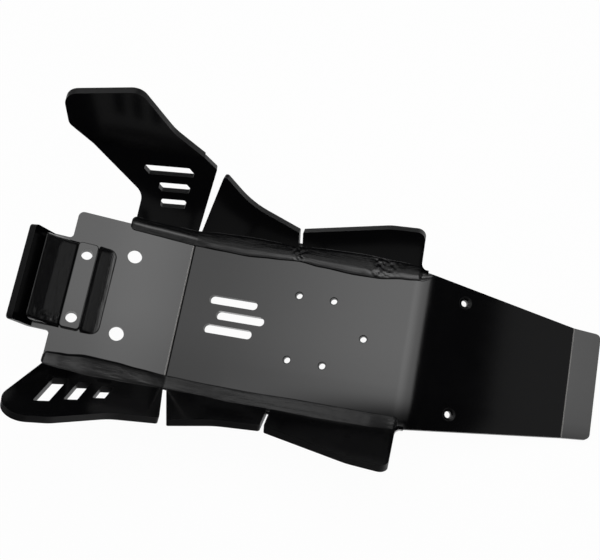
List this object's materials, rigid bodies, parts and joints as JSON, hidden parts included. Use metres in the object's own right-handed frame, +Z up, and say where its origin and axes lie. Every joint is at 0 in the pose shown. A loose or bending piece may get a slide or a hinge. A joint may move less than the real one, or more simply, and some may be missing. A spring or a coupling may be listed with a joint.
{
  "type": "motorcycle skid plate",
  "caption": "Folded thick plastic skid plate with flared side wings, a welded front spacer and a narrowing tail that guards the rear linkage.",
  "frame": {"origin": "middle of the base's inner face, which the frame rails sit on", "axes": "+X to the front of the motorcycle, +Y to its left, +Z up, square to the base"},
  "size_m": [0.5958, 0.3268, 0.2166],
  "materials": {
    "sheet_plastic": "semi-gloss extruded black polyethylene sheet with satin cut edges",
    "weld_plastic": "smooth extruded weld beads of the same black plastic, slightly rippled"
  },
  "bodies": {
    "root": {"skid_sheet": "sheet_plastic", "spacer_strip": "sheet_plastic", "weld_front_lip": "weld_plastic", "weld_spacer_rear": "weld_plastic", "weld_right": "weld_plastic", "weld_left": "weld_plastic"}
  },
  "joints": []
}
